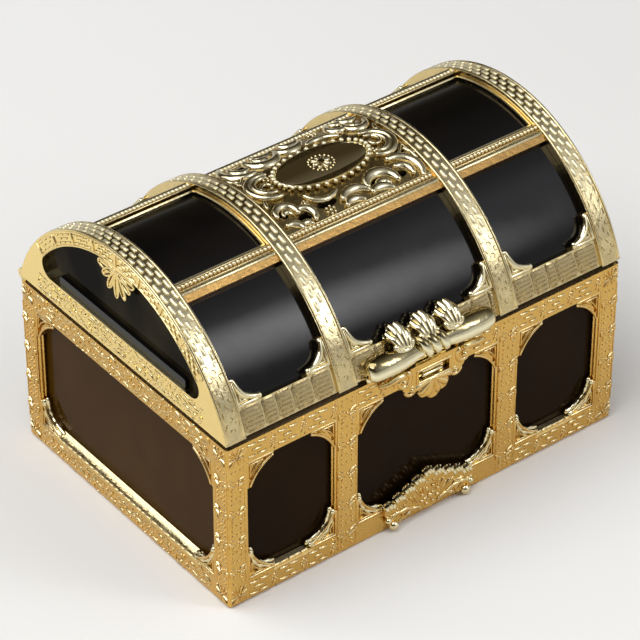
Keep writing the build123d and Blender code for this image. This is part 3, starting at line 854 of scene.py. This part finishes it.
def dress_lid_rails():
    """Bead row, ridge and amber slope on the two long rails, plates with grain on the foot rails."""
    beads = Relief()
    rolls = Relief()
    grounds = Relief()
    plates = Relief()
    base = -RAIL_SINK
    for left, right in LID_BAYS:
        for side in (-1, 1):
            at = left + 0.6
            while at < right - 0.3:
                beads.bead(at, side * (TOP_WINDOW_EDGE + 1.35), 0.52, base + 0.2, 10)
                at += 1.08
            for line in (0.5, 2.2):
                rolls.level_roll(left, right, side * (TOP_WINDOW_EDGE + line), base, 0.2)
            rolls.level_roll(left, right, side * (TOP_WINDOW_EDGE + 3.1), base - 0.2, 0.75, 12)
            for start, end, heights in (
                (SIDE_WINDOW_START - 1.5, SIDE_WINDOW_START + 0.12, (-0.3, 0.3, -0.05, -1.4)),
                (TOP_WINDOW_EDGE + 0.6, TOP_WINDOW_EDGE + 2.1, (-0.2, 0.03, 0.03, -0.2)),
            ):
                section = zip((start, start, end, end), heights)
                grounds.prism([(side * v, base + h) for v, h in section], left, right)
            lay_plates(plates, left, right, (SIDE_WINDOW_END + ARCH_END) / 2, side, base)
    beads.place("lid_rail_beads", on_arch, SATIN_HIGHLIGHT_GOLD, *ON_LID, 80)
    rolls.place("lid_rail_rolls", on_arch, LID_GOLD, *ON_LID)
    grounds.place("lid_rail_slopes", on_arch, AMBER_GOLD, *ON_LID)
    plates.place("lid_foot_plates", on_arch, FOOT_GOLD, *ON_LID)


def dress_lid_brackets():
    """Thick rolled brackets with curled tips at the foot of each side window of the lid."""
    relief = Relief()
    window = SIDE_WINDOW_END - SIDE_WINDOW_START
    middle = (SIDE_WINDOW_END + SIDE_WINDOW_START) / 2
    reach = LID_BRACKET[0]
    for left, right in LID_BAYS:
        centre = (left + right) / 2
        for side in (-1, 1):
            foot = side * SIDE_WINDOW_END
            for corner, turn in window_corners(centre, side * middle, right - left, window):
                if corner[1] * side < middle:
                    continue
                bracket_rim(relief, corner, turn, LID_BRACKET, 0.42, -0.05)
                way = 1 if corner[0] < centre else -1
                hollow = hollow_path((corner[0], foot), way, -side, 0.9, reach - 1.3, 1.05, 8)
                relief.ridge(hollow, [0.5, 0.62, 0.72, 0.8, 0.85, 0.8, 0.72, 0.62, 0.5], 0.3, 10)
                relief.ball(corner[0] + way * (reach - 0.3), foot - side * 0.8, -0.5, 0.8)
                relief.ball(corner[0] + way * 0.8, foot - side * (reach - 0.3), -0.5, 0.75)
    relief.place("lid_bracket_rims", on_arch, POLISHED_GOLD, *ON_LID)


def dress_top_windows():
    """Thin rolled border inside the two plain top windows."""
    relief = Relief()
    inset = 0.35
    edge = TOP_WINDOW_EDGE - inset
    for left, right in (LID_BAYS[0], LID_BAYS[2]):
        for u in (left + inset, right - inset):
            relief.tube(arc_line(u, -edge, edge, -1.5, 16), 0.38, sides=6)
        for v in (-edge, edge):
            relief.level_roll(left + inset, right - inset, v, -1.5, 0.38, 6)
    relief.place("lid_window_borders", on_arch, LID_GOLD, *ON_LID)


def dress_ring(name, side):
    """Brick marks between radial bars on the lid's end ring, and rocaille on the rail under it."""
    relief = Relief()
    reach = radians(50) * (LID_RADIUS - RING / 2)
    for v in (-RING / 2 + 0.3, RING / 2 - 0.3):
        relief.tube([(reach * (2 * share - 1), v, -0.05) for share in shares(40)], 0.2, sides=6)
    count = 8
    step = 2 * reach / count
    for index in range(count):
        start = -reach + index * step
        relief.bar(start, 0, 0.4, RING - 0.9, 0.28)
        dash_field(relief, start + 0.7, start + step - 0.4, (-0.95, 0.0, 0.95), 1.9, 0.6, 0.55, 0.24)
    relief.bar(reach, 0, 0.4, RING - 0.9, 0.28)
    relief.place(name + "_ring_relief", on_ring(side), LID_GOLD, *ON_LID)
    rail = Relief()
    encrust(rail, -33.0, 31.5, LID_BOTTOM + 0.4, LID_BOTTOM + LID_END_RAIL - 0.5)
    rail.place(name + "_lid_rail_relief", ENDS[side], LID_GOLD, *ON_LID)


def dress_ledge(name, side):
    """Rounded nose along the smoked ledge in the end window."""
    relief = Relief()
    for v, h, radius in ((55.3, -1.3, 0.6), (54.0, -1.2, 0.5)):
        relief.level_roll(-LEDGE_HALF, LEDGE_HALF, v, h, radius, 12)
    relief.place(name, ENDS[side], LEDGE_SMOKE, *IN_LID)


def arch_profile(radius, foot, steps, way=1):
    """Section points round the lid's arch at a radius, from one foot to the other."""
    reach = acos((foot - LID_AXIS) / radius)
    turns = [way * reach * (i / steps - 1) for i in range(2 * steps + 1)]
    return [(radius * sin(turn), LID_AXIS + radius * cos(turn)) for turn in turns]


def skin_end_wall(name, side):
    """Outer skin of the smoked end wall, seen in the lid's end window."""
    relief = Relief()
    relief.prism(arch_profile(LID_RADIUS - RING + 0.3, LID_BOTTOM + 0.6, 30), *[side * x for x in END_SKIN])
    relief.place(name, on_section, END_SMOKE, *IN_LID)


def line_lid():
    """Inner skin of the smoked arch, seen when the lid is open."""
    relief = Relief()
    outer, inner = INNER_SKIN_DEPTHS
    profile = arch_profile(LID_RADIUS - outer, LID_BOTTOM, 40)
    profile += arch_profile(LID_RADIUS - inner, LID_BOTTOM, 40, -1)
    relief.prism(profile, -INNER_SKIN_HALF, INNER_SKIN_HALF)
    relief.place("lid_inner_skin", on_section, LID_SMOKE, *IN_LID)


# Fan shells

def fan_shell(relief, u, v, width, height, flutes, spread_angle, top, root, tip):
    """Flutes that swell from a root and hang down like a scallop."""
    for flute in range(flutes):
        share = flute / (flutes - 1) * 2 - 1
        angle = radians(90 - share * spread_angle / 2)
        end_u = u + (width / 2 - tip * 1.4) * cos(angle)
        end_v = v - (height - tip * 1.9) * sin(angle) * (1 - 0.06 * share * share)
        path = [(u + (end_u - u) * t, v + (end_v - v) * t) for t in shares(6)]
        relief.ridge(path, [root + (tip - root) * t for t in shares(6)], top, sides=10)


def dress_end_shell(name, side):
    """Looped petals that hang from the ring, the outer two level, with a ridge down each."""
    relief = Relief()
    root = LID_AXIS + LID_RADIUS - RING - 0.2
    relief.lobe(0, root - 0.1, 11.0, 2.6, 0.3)
    petals = (
        (180, 7.2, 3.3), (214, 6.6, 2.9), (243, 7.4, 2.6), (270, 7.8, 2.4),
        (297, 7.4, 2.6), (326, 6.6, 2.9), (0, 7.2, 3.3),
    )
    for angle, length, width in petals:
        turn = radians(angle)
        along = Vector((cos(turn), sin(turn)))
        across = Vector((-along.y, along.x))
        start = Vector((0, root - 0.5)) + along * 0.6
        if angle in (0, 180):
            start.y -= 0.9
        loop = []
        for i in range(17):
            swing = 2 * pi * i / 16
            reach = (length - 0.9) * (0.5 - 0.5 * cos(swing))
            wide = width / 2 * 0.86 * sin(swing) * (0.55 + 0.45 * reach / length)
            loop.append(tuple(start + along * reach + across * wide))
        relief.ridge(loop, 0.3, 0.36)
        middle = start + along * (length * 0.5)
        relief.lobe(middle.x, middle.y, length - 1.8, width * 0.5, 0.16, angle, taper=0.3)
    for hand in (-1, 1):
        relief.bead(hand * 1.6, root - 2.0, 0.5, -0.15)
    relief.bead(0, root - 2.6, 0.55, -0.2)
    return relief.place(name, ENDS[side], LID_GOLD, *ON_LID)


def dress_grip_shell(name, place):
    """One upright shell: four fat flutes that curl over at the top and lean out to a cup on the roll."""
    relief = Relief()
    centre = place * SHELL_PITCH - 0.9
    for offset, tip in ((-2.1, 2.1), (-0.75, 3.5), (0.75, 3.5), (2.1, 2.1)):
        stations = (
            (0.55, -2.2, 3.3), (0.72, -1.2, 3.1), (0.88, 0.1, 2.5),
            (0.97, tip - 1.7, 1.7), (1, tip - 1.05, 0.7), (1, tip - 1.15, -0.3),
        )
        path = [(centre + offset * share, v, h) for share, v, h in stations]
        relief.tube(path, [0.6, 0.78, 0.94, 1.05, 1.02, 0.85], sides=14)
    relief.tube(arc_path(centre, -1.9, 2.2, 180, 360, 3.2, steps=12, stretch=0.5), 0.62, sides=12)
    for hand in (-1, 1):
        relief.ball(centre + hand * 2.2, -1.7, 3.1, 0.8)
        relief.ball(centre + hand * 0.75, -2.5, 3.5, 0.5)
    return relief.place(name, on_tangent, POLISHED_GOLD, *ON_LID)


# Clasp

def dress_clasp():
    """Scrolls, slot frame and down-turned shell on the escutcheon."""
    relief = Relief()
    front = CLASP_FRONT
    for hand in (-1, 1):
        scroll(
            relief, hand * 8.9, 43.2, (2.3, 0.8), 90 + hand * 40, hand * 330,
            front - 0.3, (0.76, 0.46), 12, 0.2,
        )
        relief.ball(hand * 8.9, 43.2, front, 0.8)
        arm = ((9.2, 45.2, 0), (11.2, 45.0, 0.1), (13.0, 44.3, 0.4), (15.0, 44.2, 0.8))
        relief.tube([(hand * u, v, front - dip) for u, v, dip in arm], [0.9, 0.95, 0.75, 0.5], sides=12)
        scroll(
            relief, hand * 6.4, 39.7, (1.7, 0.6), 90 - hand * 100, -hand * 300,
            front - 0.4, (0.55, 0.38), 10, 0.2,
        )
        relief.ball(hand * 6.4, 39.7, front - 0.1, 0.6)
    for v in (SLOT_LOW, SLOT_TOP):
        relief.level_roll(-SLOT_HALF, SLOT_HALF, v, front - 0.05, 0.36)
    for u in (-SLOT_HALF, SLOT_HALF):
        relief.tube([(u, SLOT_LOW, front - 0.05), (u, SLOT_TOP, front - 0.05)], 0.36)
    fan_shell(relief, 0, 40.6, 13.0, 6.4, 6, 150, front + 0.5, 0.45, 1.1)
    relief.place("escutcheon_relief", on_front, BODY_GOLD, *ON_BODY)
    bars = Relief()
    for v in (43.25, 41.9):
        bars.level_roll(-2.7, 2.7, v, 0.85, 0.42, 10)
    bars.place("tongue_bars", on_front, POLISHED_GOLD, *ON_LID)


def dress_grip():
    """Polished roll with a neck at its middle, where three slanted gadroons wrap it."""
    relief = Relief()
    middle = GRIP_MIDDLE
    roll = (
        (2.6, 2.1), (4.4, 2.2), (6.4, 2.65), (9.0, 2.98), (12.5, 3.05), (15.2, 2.98), (16.9, 2.7),
        (17.8, 2.15), (18.2, 1.35), (18.4, 0.5),
    )
    for hand in (-1, 1):
        path = [(middle + hand * u, GRIP_Z, GRIP_OUT) for u, radius in roll]
        relief.tube(path, [radius for u, radius in roll], sides=28, round_ends=False)
    for rib, thick in ((-2.6, 1.15), (-0.1, 1.3), (2.4, 1.2)):
        centre_reach = GRIP_REACH - thick
        path, radii = [], []
        for i in range(21):
            angle = radians(130 - 190 * i / 20)
            path.append((
                middle + rib + 1.5 * (i / 10 - 1),
                GRIP_Z + 0.45 + (centre_reach + 0.1) * sin(angle),
                GRIP_OUT + centre_reach * cos(angle),
            ))
            radii.append(thick * (0.62 + 0.38 * sin(pi * i / 20)))
        relief.tube(path, radii, sides=14)
    for hand in (-1, 1):
        path = [(middle + hand * u, GRIP_Z - drop, GRIP_OUT) for u, drop in ((15.6, 1.2), (17.3, 1.6))]
        relief.tube(path, [1.7, 1.3], sides=14)
    return relief.place("grip_roll", on_front, ROLL_GOLD, *ON_LID)


# Crest on the foot rail

def crest_leaf(curls, relief, hand, u, top):
    """Three ribs that curl over the top of the crest, with three veins below them."""
    for rib in (-1, 0, 1):
        thick = 0.64 if rib == 0 else 0.56
        ru = hand * u + rib * 0.98
        rv = top + (0.3 if rib == 0 else -0.05) - thick
        bend = ((-0.9, 0.95), (-0.4, 1.05), (0, 0.75), (0.15, -0.2), (0, -1.1))
        radii = [thick * 0.5, thick * 0.85, thick, thick, thick * 0.85]
        curls.tube([(ru, rv + lift, h) for lift, h in bend], radii, sides=12)
    front = CREST_FRONT
    for vein in (-1.1, 0.0, 1.1):
        path = [
            (hand * u + vein, top - 3.2, front),
            (hand * max(1.9, u * 0.86) + vein * 0.6, top - 4.3, front + 0.05),
            (hand * max(1.6, u * 0.68) + vein * 0.3, max(2.2, top - 5.6), front),
        ]
        relief.tube(path, [0.34, 0.3, 0.16], sides=6)


def dress_crest():
    """Curls that climb to the middle along the top, over a bead flower and ball-ended scrolls."""
    curls = Relief()
    relief = Relief()
    front = CREST_FRONT
    for leaf in range(5):
        u = 11.5 * leaf / 4
        for hand in (-1, 1) if u else (1,):
            crest_leaf(curls, relief, hand, u, 12.8 - 4.9 * leaf / 4)
    for hand in (-1, 1):
        scroll(relief, hand * 9.3, 2.9, (2.6, 1.0), 90 - hand * 100, hand * 250, front, (0.55, 0.38), 8)
        branch = ((10.4, 4.4, front), (7.2, 4.9, front + 0.1), (4.4, 3.4, front))
        relief.tube([(hand * u, v, h) for u, v, h in branch], [0.3, 0.55, 0.3], sides=10)
        arc = arc_path(hand * 4.9, 1.5, 2.7, 90 - hand * 75, 90 + hand * 60, front, stretch=0.8)
        relief.tube(arc, taper_radii(11, 0.3, 0.48))
        for u, v, lift, radius in ((12.3, 3.6, 0, 0.85), (10.8, 1.7, 0.1, 1.3), (6.4, 3.1, 0, 0.5)):
            curls.ball(hand * u, v, front + lift, radius)
    for petal in range(8):
        turn = radians(45 * petal + 22.5)
        relief.ball(*polar(0, ROSETTE_Z, 2.5, turn), front, 0.52)
        relief.tube([(*polar(0, ROSETTE_Z, reach, turn), front) for reach in (0.9, 1.7)], 0.24, sides=6)
    relief.ball(0, ROSETTE_Z, front, 0.66)
    relief.place("crest_leaves", on_front, BODY_GOLD, *ON_BODY)
    curls.place("crest_curls", on_front, POLISHED_GOLD, *ON_BODY)


# Cartouche

# Gadroons of one half of the plate: u, v, radius, start, end, thickness, top
GADROONS = (
    (8.3, -12.9, 4.0, 165, -5, 1.75, 1.2),
    (8.3, -13.6, 1.6, 165, 10, 1.2, 0.9),
    (6.7, -16.4, 3.4, 125, 30, 1.45, 1.0),
    (0.5, -14.6, 4.1, 145, 30, 1.5, 1.15),
    (-0.9, -15.9, 2.7, 140, 30, 1.3, 1.0),
    (14.6, -12.0, 4.9, 100, -38, 1.4, 1.15),
    (14.6, -12.2, 2.4, 105, -30, 1.25, 1.0),
    (-17.2, -9.8, 2.7, 175, -20, 1.25, 1.1),
    (-17.2, -10.2, 1.0, 170, -10, 0.8, 0.85),
    (-13.7, -12.2, 2.5, 110, -50, 1.2, 1.05),
    (-18.4, -15.0, 2.4, 110, 0, 1.15, 0.95),
    (-14.8, -15.2, 1.4, 150, 10, 0.9, 0.85),
    (-5.8, -5.2, 5.1, 205, 305, 0.95, 1.05),
)


def crescent(relief, u, v, radius, start, end, thick, top):
    """Fat gadroon, thickest in its middle."""
    radii = [thick * (0.3 + 0.7 * sin(pi * (0.1 + 0.8 * i / 12))) for i in range(13)]
    relief.ridge(arc_path(u, v, radius, start, end, steps=12), radii, top, sides=12)


def scroll_half(scrolls, half, base):
    """Scrolls, gadroons, flowers and leaves of one half of the plate; the other is it turned round."""
    flip = 0 if half > 0 else 180
    for radius, thick in ((5.3, 1.15), (3.6, 0.85)):
        path = spiral_path(half * 15.0, half * -0.9, radius, radius * 0.8, 95 + flip, -215, steps=30)
        scrolls.ridge(path, taper_radii(31, thick * 0.45, thick * 0.5, thick * 0.5), base + 1.1, sides=12)
    path = spiral_path(half * 15.4, half * 0.2, 2.0, 0.9, 60 + flip, -300, steps=24)
    scrolls.ridge(path, taper_radii(25, 0.5, 0.35), base + 0.9, sides=10)
    flower(scrolls, half * 13.2, half * -3.2, 1.5, base + 0.25)
    for u, v, radius, start, end, thick, top in GADROONS:
        crescent(scrolls, half * u, half * v, radius, start + flip, end + flip, thick, base + top)
    for u0, v0, u1, v1, thick in ((19.6, -4.6, 16.4, -8.0, 0.4), (20.0, -5.0, 20.2, -10.0, 0.35)):
        scrolls.ridge([(half * u0, half * v0), (half * u1, half * v1)], thick, base + 0.85)
    flower(scrolls, half * -7.4, half * -13.6, 1.5, base + 0.3)
    flower(scrolls, half * -11.6, half * -9.2, 1.1, base + 0.3)
    scrolls.lobe(half * -20.0, half * 7.2, 3.4, 1.2, base + 0.8, 120 + flip)
    scrolls.lobe(half * -19.6, half * -4.9, 3.2, 1.2, base + 0.8, 250 + flip)


def dress_cartouche():
    """Scrolls, gadroons and flowers on the pierced plate, round a domed oval in a ring of beads."""
    base = -RAIL_SINK
    beads = Relief()
    for u, v, h in oval(0, 0, 13.0, 7.1, base + 0.75, 34):
        beads.bead(u, v, 0.6, h, 10, 4)
    beads.place("cartouche_beads", on_arch, SATIN_HIGHLIGHT_GOLD, *ON_LID, 80)
    scrolls = Relief()
    for half in (1, -1):
        scroll_half(scrolls, half, base)
    scrolls.place("cartouche_scrolls", on_arch, SCROLL_GOLD, *ON_LID)
    plate = Relief()
    levels = ((1.0, 0.2), (1.0, 0.62), (0.975, 0.78), (0.85, 0.88), (0.6, 0.97), (0.3, 1.01), (0.06, 1.02))
    plate.skin([oval(0, 0, 12.5 * share, 6.7 * share, base + lift, 64) for share, lift in levels])
    plate.place("cartouche_oval", on_arch, POLISHED_GOLD, *ON_LID, 80)
    rosette = Relief()
    for petal in range(8):
        angle = 45 * petal
        rosette.lobe(*polar(0, 0, 1.45, radians(angle)), 2.0, 1.15, base + 1.42, angle, 4)
    rosette.bead(0, 0, 1.0, base + 0.48, 12, 5)
    for dot in range(18):
        turn = radians(20 * dot)
        rosette.bead(3.1 * cos(turn), 2.9 * sin(turn), 0.24, base + 0.98, 6, 2)
    rosette.place("cartouche_rosette", on_arch, SCROLL_GOLD, *ON_LID)


dress_long_side("front", on_front, True)
dress_long_side("back", on_back, False)
dress_end("left_end", on_left)
dress_end("right_end", on_right)
dress_bands()
dress_lid_rails()
dress_lid_brackets()
dress_top_windows()
dress_ring("left", -1)
dress_ring("right", 1)
dress_ledge("left_ledge_nose", -1)
dress_ledge("right_ledge_nose", 1)
skin_end_wall("left_end_wall_skin", -1)
skin_end_wall("right_end_wall_skin", 1)
line_lid()
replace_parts(dress_end_shell("left_hanging_shell", -1), "left_end_shell")
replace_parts(dress_end_shell("right_hanging_shell", 1), "right_end_shell")
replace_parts(dress_grip_shell("left_fluted_shell", -1), "left_grip_shell")
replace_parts(dress_grip_shell("middle_fluted_shell", 0), "middle_grip_shell")
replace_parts(dress_grip_shell("right_fluted_shell", 1), "right_grip_shell")
dress_clasp()
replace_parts(dress_grip(), "thumb_grip")
dress_crest()
dress_cartouche()


# Floor, light and camera

def build_floor():
    mesh = bpy.data.meshes.new("floor")
    reach = 6.0
    corners = [(-reach, -reach, 0), (reach, -reach, 0), (reach, reach, 0), (-reach, reach, 0)]
    mesh.from_pydata(corners, [], [(0, 1, 2, 3)])
    floor = added("floor", mesh)
    material, tree, principled = shader("pale_floor")
    tint = ramp(tree, noise(tree, 3, 2), [(0.3, (0.86, 0.86, 0.85)), (0.7, (0.90, 0.90, 0.89))])
    fill(tree, principled, {"Base Color": tint, "Roughness": 0.85})
    mesh.materials.append(material)


def area_light(name, place, target, size, radiance):
    """Oval light whose brightness is given as seen in a mirror."""
    data = bpy.data.lights.new(name, "AREA")
    data.shape = "ELLIPSE"
    data.size, data.size_y = size
    data.energy = radiance * pi**2 / 4 * size[0] * size[1]
    aimed(name, data, place, Vector(target) - Vector(place))


def build_lights():
    """A broad key, a row of glints that shine along the lid's front, and a light from the back left."""
    area_light("key", (-0.6, 0.1, 1.3), (0, 0, 0), (1.4, 1.4), 3.5)
    for step in range(8):
        share = 0.35 + 0.17 * step
        out = 1 + 0.01 * step
        place = (0.25 * out, -0.39 * out, 0.44 * out)
        area_light("lid_glint_%d" % step, place, (0.0, -0.02, 0.06), (0.12 * share, 0.36 * share), 0.68)
    area_light("back_left", (-0.36, 0.60, 0.68), (0, 0, 0.03), (0.55, 0.45), 1.6)


def build_world():
    """Dim warm room with a pale sweep at the horizon and a broad soft glow high at the front right."""
    world = bpy.data.worlds.new("studio")
    bpy.context.scene.world = world
    world.use_nodes = True
    tree = world.node_tree
    direction = coordinate(tree, "Generated")
    front_right = Vector((0.487, -0.55, 0.68)).normalized()
    aim = calculated(tree, "DOT_PRODUCT", direction, front_right, kind="VectorMath")
    glow = ramp(tree, aim, [
        (0.0, (0.05, 0.036, 0.018)), (0.30, (0.045, 0.034, 0.018)), (0.60, (0.15, 0.13, 0.10)),
        (0.80, (0.31, 0.31, 0.32)), (0.93, (0.56, 0.57, 0.60)), (0.985, (1.05, 1.07, 1.13)),
    ])
    sweep = ramp(tree, part_of(tree, direction, "Z"), [
        (0.0, (0.80, 0.79, 0.76)), (0.10, (0.55, 0.54, 0.51)),
        (0.22, (0.05, 0.05, 0.045)), (0.30, (0.0, 0.0, 0.0)),
    ])
    total = calculated(tree, "ADD", glow, sweep, kind="VectorMath", result="Vector")
    fill(tree, tree.nodes["Background"], {"Color": total, "Strength": 1.0})


def build_camera():
    """The photograph's angle, about the middle of the chest."""
    azimuth = radians(-37.693)
    elevation = radians(37.136)
    distance = 0.829215
    target = Vector((-0.000303, 0.0, 0.031819))
    back = Vector((sin(azimuth) * cos(elevation), -cos(azimuth) * cos(elevation), sin(elevation)))
    data = bpy.data.cameras.new("camera")
    data.sensor_width = 36.0
    data.lens = 196.875
    data.clip_start = 0.01
    bpy.context.scene.camera = aimed("camera", data, target + back * distance, -back)


build_floor()
build_lights()
build_world()
build_camera()
bpy.context.scene.view_settings.view_transform = "Standard"
